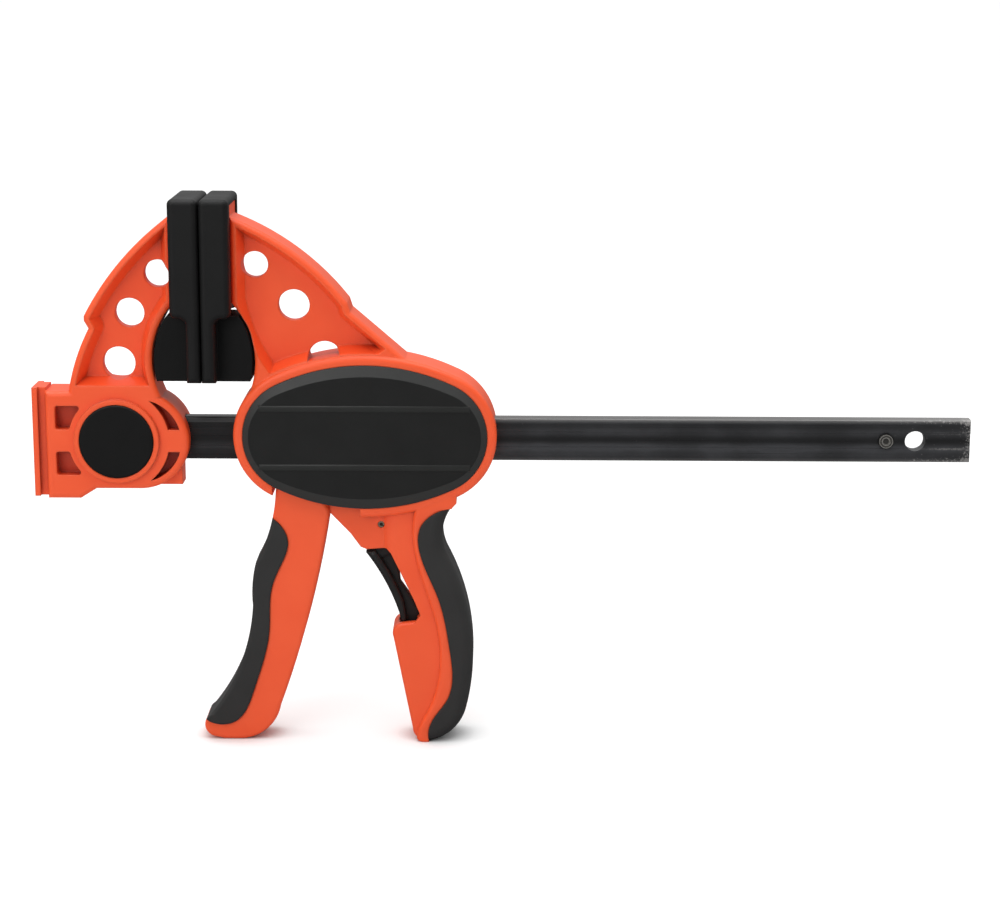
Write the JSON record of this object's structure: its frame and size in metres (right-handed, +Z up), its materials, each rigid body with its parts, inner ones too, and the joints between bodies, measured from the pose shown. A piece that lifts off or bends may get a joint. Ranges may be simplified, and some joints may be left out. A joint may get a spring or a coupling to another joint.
{
  "type": "bar clamp",
  "caption": "One-handed quick release bar clamp: steel bar, fixed jaw with release button, moving jaw in an oval housing, squeeze lever, grip and release trigger.",
  "frame": {"origin": "middle of the bottom of the bounding box, with the clamp standing on the ends of its lever and grip", "axes": "+X along the bar towards its free end, +Y away from the side with the release button, +Z up towards the jaws"},
  "size_m": [0.4098, 0.039, 0.2432],
  "materials": {
    "orange_moulding": "satin moulded glass-filled nylon",
    "black_pad": "soft matt rubber",
    "black_cover": "fine grained moulding",
    "grip_rubber": "soft matt overmoulding",
    "trigger_black": "satin moulding",
    "blackened_steel": "blackened oiled steel bar",
    "pin_steel": "plain turned pin",
    "spring_steel": "drawn spring wire"
  },
  "bodies": {
    "body": {"housing": "orange_moulding", "moving_jaw_pad": "black_pad", "front_cover": "black_cover", "rear_cover": "black_cover", "lever_pin": "pin_steel", "trigger_pin": "pin_steel", "handle_grip": "grip_rubber", "drive_spring": "spring_steel", "brake_spring": "spring_steel"},
    "bar_and_fixed_jaw": {"bar": "blackened_steel", "bar_stop_pin": "blackened_steel", "fixed_jaw": "orange_moulding", "fixed_jaw_pad": "black_pad", "hub_back_cap": "orange_moulding", "button_spring": "spring_steel"},
    "jaw_button": {"jaw_release_button": "black_cover", "jaw_lock_pin": "pin_steel"},
    "lever": {"drive_lever": "orange_moulding", "lever_grip": "grip_rubber"},
    "drive_plates": {"drive_plate_front": "pin_steel", "drive_plate_rear": "pin_steel"},
    "trigger": {"release_trigger": "trigger_black"},
    "brake": {"brake_plate": "pin_steel"}
  },
  "joints": [
    {"name": "bar_slide", "type": "slide", "parent": "body", "child": "bar_and_fixed_jaw", "axis": [1, 0, 0], "range_m": [-0.1672, 0]},
    {"name": "lever_hinge", "type": "hinge", "parent": "body", "child": "lever", "pos_m": [-0.0887, 0, 0.1566], "axis": [0, -1, 0], "range_deg": [0, 20], "stiffness_Nm_per_rad": 0.5, "springref_deg": -11.46},
    {"name": "drive_plates_slide", "type": "slide", "parent": "body", "child": "drive_plates", "axis": [1, 0, 0], "range_m": [0, 0.0076], "deforming": ["drive_spring"]},
    {"name": "trigger_hinge", "type": "hinge", "parent": "body", "child": "trigger", "pos_m": [-0.0534, 0, 0.099], "axis": [0, -1, 0], "range_deg": [0, 5], "stiffness_Nm_per_rad": 0.2, "springref_deg": -5.73},
    {"name": "brake_hinge", "type": "hinge", "parent": "body", "child": "brake", "pos_m": [-0.0557, 0, 0.1255], "axis": [0, 1, 0], "range_deg": [0, 7.1], "deforming": ["brake_spring"]},
    {"name": "button_slide", "type": "slide", "parent": "bar_and_fixed_jaw", "child": "jaw_button", "axis": [0, 1, 0], "range_m": [0, 0.0042], "stiffness_N_per_m": 400, "springref_m": -0.002, "deforming": ["button_spring"]}
  ],
  "couplings": [
    {"joint": "drive_plates_slide", "follows": "lever_hinge", "m_per_rad": 0.0215},
    {"joint": "brake_hinge", "follows": "trigger_hinge", "ratio": 1.4}
  ]
}
